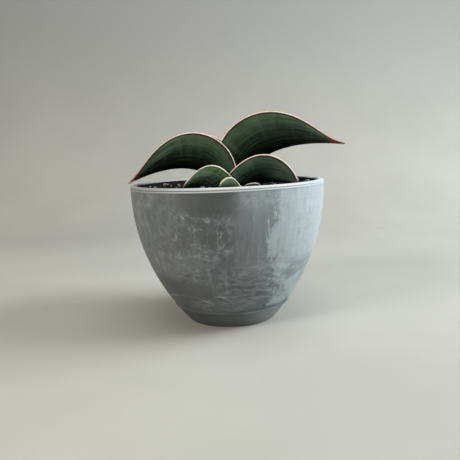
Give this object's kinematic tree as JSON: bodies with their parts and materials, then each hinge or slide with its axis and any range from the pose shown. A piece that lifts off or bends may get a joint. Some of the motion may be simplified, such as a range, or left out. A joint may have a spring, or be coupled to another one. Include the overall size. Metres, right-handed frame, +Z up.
{
  "type": "potted snake plant",
  "caption": "Dwarf snake plant with thick boat-shaped leaves fanning from one rhizome, in a bowl-shaped matt pot with drain holes.",
  "frame": {"origin": "centre of the pot's underside, on the surface the pot stands on", "axes": "+Z up along the pot's axis, +X towards the longer and higher of the two large leaves"},
  "size_m": [0.1602, 0.14, 0.1479],
  "materials": {
    "pot_plastic": "matt moulded plastic with a chalky brushed whitewash",
    "drain_felt": "soft needled felt",
    "gravel": "dull rounded gravel",
    "soil": "damp crumbly potting mix",
    "rhizome": "pale woody stem",
    "leaf_green": "satin waxy leaf with pale margins",
    "leaf_young_green": "satin waxy young leaf with cream margins",
    "spear_tan": "satin rolled leaf bud",
    "pumice": "dry porous stone"
  },
  "bodies": {
    "root": {"pot": "pot_plastic", "drain_felt": "drain_felt", "drainage_gravel": "gravel", "potting_soil": "soil", "rhizome": "rhizome", "leaf_left_large": "leaf_green", "leaf_right_large": "leaf_green", "leaf_right_front": "leaf_green", "leaf_left_front": "leaf_young_green", "sprout_left": "leaf_young_green", "sprout_right": "leaf_young_green", "spear_leaf": "spear_tan", "pumice_01": "pumice", "pumice_02": "pumice", "pumice_03": "pumice", "pumice_04": "pumice", "pumice_05": "pumice", "pumice_06": "pumice", "pumice_07": "pumice", "pumice_08": "pumice", "pumice_09": "pumice", "pumice_10": "pumice", "pumice_11": "pumice", "pumice_12": "pumice", "pumice_13": "pumice", "pumice_14": "pumice", "pumice_15": "pumice", "pumice_16": "pumice"}
  },
  "joints": []
}
